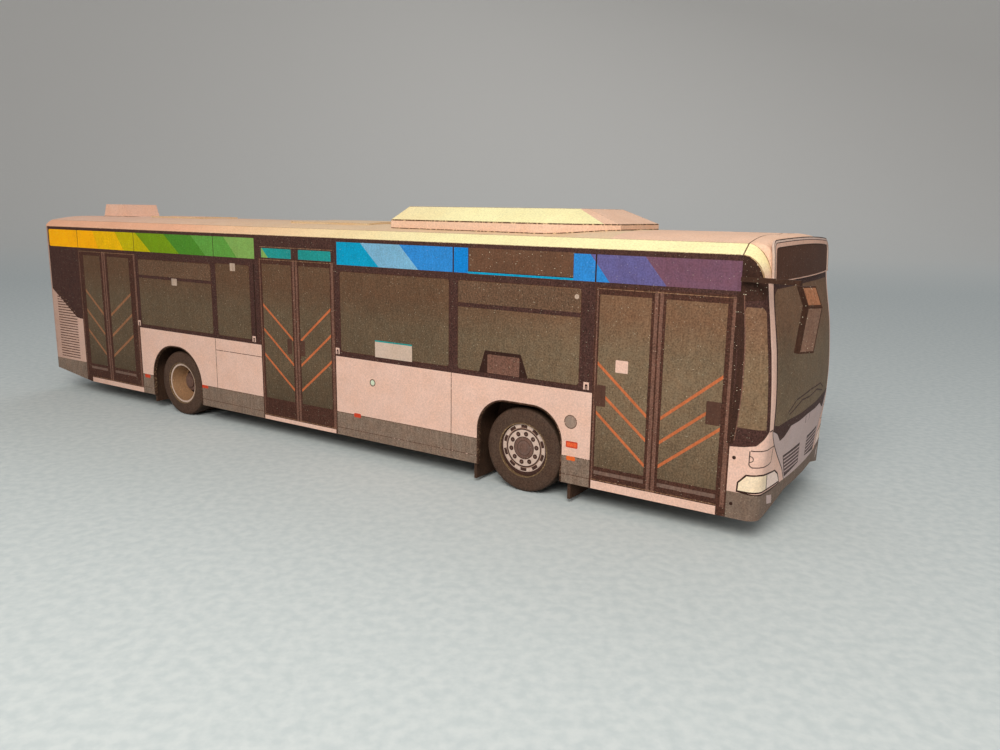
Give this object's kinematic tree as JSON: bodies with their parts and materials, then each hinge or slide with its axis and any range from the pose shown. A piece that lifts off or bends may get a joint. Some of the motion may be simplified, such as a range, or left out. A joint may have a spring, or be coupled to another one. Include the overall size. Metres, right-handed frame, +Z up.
{
  "type": "card scale model of a rigid city bus",
  "caption": "Small printed-card model of a low-floor city bus: a folded body shell with printed doors and windows, a roof pod, mirrors, wheel wells and rolling wheelsets.",
  "frame": {"origin": "on the floor under the middle of the bounding box", "axes": "+X forward, +Y to the driver's left, +Z up; the door side faces -Y"},
  "size_m": [0.141, 0.0344, 0.0355],
  "materials": {
    "side_print": "matte printed card",
    "front_print": "matte printed card",
    "roof_card": "matte printed card",
    "glass_print": "matte printed card",
    "dark_card": "matte printed card",
    "floor_card": "matte printed card",
    "tyre_card": "matte printed card",
    "rim_print": "matte printed card",
    "mirror_card": "matte printed card",
    "axle_wood": "bare round stick"
  },
  "bodies": {
    "body": {"arch_liner_front_left": "dark_card", "arch_liner_front_right": "dark_card", "arch_liner_rear_left": "dark_card", "arch_liner_rear_right": "dark_card", "axle_tube_front": "dark_card", "axle_tube_rear": "dark_card", "corner_pillar_left": "glass_print", "corner_pillar_right": "glass_print", "display_frame": "front_print", "display_panel": "glass_print", "floor_panel": "floor_card", "front_dome": "roof_card", "front_mask": "front_print", "lamp_corner_left": "front_print", "lamp_corner_right": "front_print", "mirror_arm_left": "mirror_card", "mirror_arm_right": "mirror_card", "mirror_main_left": "mirror_card", "mirror_main_right": "mirror_card", "mirror_wide_right": "mirror_card", "pod_band": "roof_card", "pod_cap": "roof_card", "rear_roof_box": "roof_card", "rear_wall": "side_print", "roof_hatch_middle": "roof_card", "roof_hatch_rear": "roof_card", "roof_skin": "roof_card", "side_wall_left": "side_print", "side_wall_right": "side_print", "windscreen": "glass_print"},
    "front_wheelset": {"axle_front": "axle_wood", "rim_front_left": "rim_print", "rim_front_right": "rim_print", "tyre_front_left": "tyre_card", "tyre_front_right": "tyre_card"},
    "rear_wheelset": {"axle_rear": "axle_wood", "dish_rear_left": "rim_print", "dish_rear_right": "rim_print", "tyre_rear_inner_left": "tyre_card", "tyre_rear_inner_right": "tyre_card", "tyre_rear_outer_left": "tyre_card", "tyre_rear_outer_right": "tyre_card"}
  },
  "joints": [
    {"name": "front_wheels_roll", "type": "hinge", "parent": "body", "child": "front_wheelset", "pos_m": [0.03583, 0, 0.0055], "axis": [0, 1, 0], "continuous": true},
    {"name": "rear_wheels_roll", "type": "hinge", "parent": "body", "child": "rear_wheelset", "pos_m": [-0.03218, 0, 0.0055], "axis": [0, 1, 0], "continuous": true}
  ]
}
